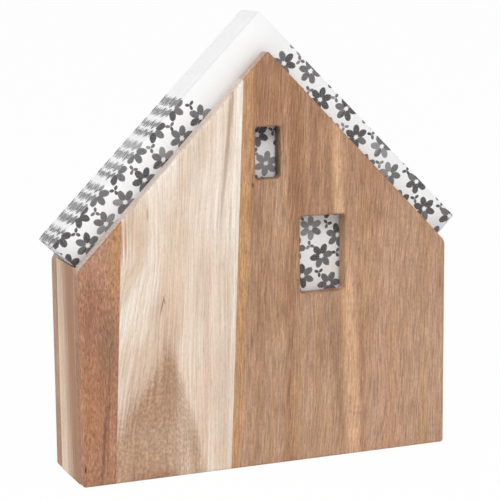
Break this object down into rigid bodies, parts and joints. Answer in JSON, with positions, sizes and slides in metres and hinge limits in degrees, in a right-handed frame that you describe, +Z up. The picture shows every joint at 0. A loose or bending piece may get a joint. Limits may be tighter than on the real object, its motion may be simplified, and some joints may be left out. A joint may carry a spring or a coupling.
{
  "type": "napkin holder",
  "caption": "House-shaped wooden napkin holder: gabled front and back boards on a U-shaped frame, windows in the front, and a pocket of folded paper napkins on one corner that lift out.",
  "frame": {"origin": "on the surface that the holder stands on, under the middle of its width and depth", "axes": "+X to the right of someone facing the front board, +Y from the front board to the back board, +Z up"},
  "size_m": [0.2336, 0.049, 0.2449],
  "materials": {
    "acacia_heartwood": "satin",
    "acacia_sapwood": "satin",
    "beech": "matte",
    "tissue_paper": "matte"
  },
  "bodies": {
    "holder": {"front_left_stave": "acacia_heartwood", "front_middle_stave": "acacia_sapwood", "front_right_stave": "acacia_heartwood", "back_left_stave": "acacia_heartwood", "back_middle_stave": "acacia_heartwood", "back_right_stave": "acacia_heartwood", "left_wall": "acacia_sapwood", "right_wall": "acacia_heartwood", "base": "acacia_heartwood", "front_board_dowels": "beech", "back_board_dowels": "beech", "base_dowels": "beech"},
    "napkin_01": {"napkin_01": "tissue_paper"},
    "napkin_02": {"napkin_02": "tissue_paper"},
    "napkin_03": {"napkin_03": "tissue_paper"},
    "napkin_04": {"napkin_04": "tissue_paper"},
    "napkin_05": {"napkin_05": "tissue_paper"},
    "napkin_06": {"napkin_06": "tissue_paper"},
    "napkin_07": {"napkin_07": "tissue_paper"},
    "napkin_08": {"napkin_08": "tissue_paper"},
    "napkin_09": {"napkin_09": "tissue_paper"},
    "napkin_10": {"napkin_10": "tissue_paper"},
    "napkin_11": {"napkin_11": "tissue_paper"},
    "napkin_12": {"napkin_12": "tissue_paper"},
    "napkin_13": {"napkin_13": "tissue_paper"},
    "napkin_14": {"napkin_14": "tissue_paper"},
    "napkin_15": {"napkin_15": "tissue_paper"},
    "napkin_16": {"napkin_16": "tissue_paper"},
    "napkin_17": {"napkin_17": "tissue_paper"},
    "napkin_18": {"napkin_18": "tissue_paper"},
    "napkin_19": {"napkin_19": "tissue_paper"},
    "napkin_20": {"napkin_20": "tissue_paper"}
  },
  "joints": [
    {"name": "napkin_01_lift", "type": "slide", "parent": "holder", "child": "napkin_01", "axis": [0, 0, 1], "range_m": [0, 0.22]},
    {"name": "napkin_02_lift", "type": "slide", "parent": "holder", "child": "napkin_02", "axis": [0, 0, 1], "range_m": [0, 0.22]},
    {"name": "napkin_03_lift", "type": "slide", "parent": "holder", "child": "napkin_03", "axis": [0, 0, 1], "range_m": [0, 0.22]},
    {"name": "napkin_04_lift", "type": "slide", "parent": "holder", "child": "napkin_04", "axis": [0, 0, 1], "range_m": [0, 0.22]},
    {"name": "napkin_05_lift", "type": "slide", "parent": "holder", "child": "napkin_05", "axis": [0, 0, 1], "range_m": [0, 0.22]},
    {"name": "napkin_06_lift", "type": "slide", "parent": "holder", "child": "napkin_06", "axis": [0, 0, 1], "range_m": [0, 0.22]},
    {"name": "napkin_07_lift", "type": "slide", "parent": "holder", "child": "napkin_07", "axis": [0, 0, 1], "range_m": [0, 0.22]},
    {"name": "napkin_08_lift", "type": "slide", "parent": "holder", "child": "napkin_08", "axis": [0, 0, 1], "range_m": [0, 0.22]},
    {"name": "napkin_09_lift", "type": "slide", "parent": "holder", "child": "napkin_09", "axis": [0, 0, 1], "range_m": [0, 0.22]},
    {"name": "napkin_10_lift", "type": "slide", "parent": "holder", "child": "napkin_10", "axis": [0, 0, 1], "range_m": [0, 0.22]},
    {"name": "napkin_11_lift", "type": "slide", "parent": "holder", "child": "napkin_11", "axis": [0, 0, 1], "range_m": [0, 0.22]},
    {"name": "napkin_12_lift", "type": "slide", "parent": "holder", "child": "napkin_12", "axis": [0, 0, 1], "range_m": [0, 0.22]},
    {"name": "napkin_13_lift", "type": "slide", "parent": "holder", "child": "napkin_13", "axis": [0, 0, 1], "range_m": [0, 0.22]},
    {"name": "napkin_14_lift", "type": "slide", "parent": "holder", "child": "napkin_14", "axis": [0, 0, 1], "range_m": [0, 0.22]},
    {"name": "napkin_15_lift", "type": "slide", "parent": "holder", "child": "napkin_15", "axis": [0, 0, 1], "range_m": [0, 0.22]},
    {"name": "napkin_16_lift", "type": "slide", "parent": "holder", "child": "napkin_16", "axis": [0, 0, 1], "range_m": [0, 0.22]},
    {"name": "napkin_17_lift", "type": "slide", "parent": "holder", "child": "napkin_17", "axis": [0, 0, 1], "range_m": [0, 0.22]},
    {"name": "napkin_18_lift", "type": "slide", "parent": "holder", "child": "napkin_18", "axis": [0, 0, 1], "range_m": [0, 0.22]},
    {"name": "napkin_19_lift", "type": "slide", "parent": "holder", "child": "napkin_19", "axis": [0, 0, 1], "range_m": [0, 0.22]},
    {"name": "napkin_20_lift", "type": "slide", "parent": "holder", "child": "napkin_20", "axis": [0, 0, 1], "range_m": [0, 0.22]}
  ]
}
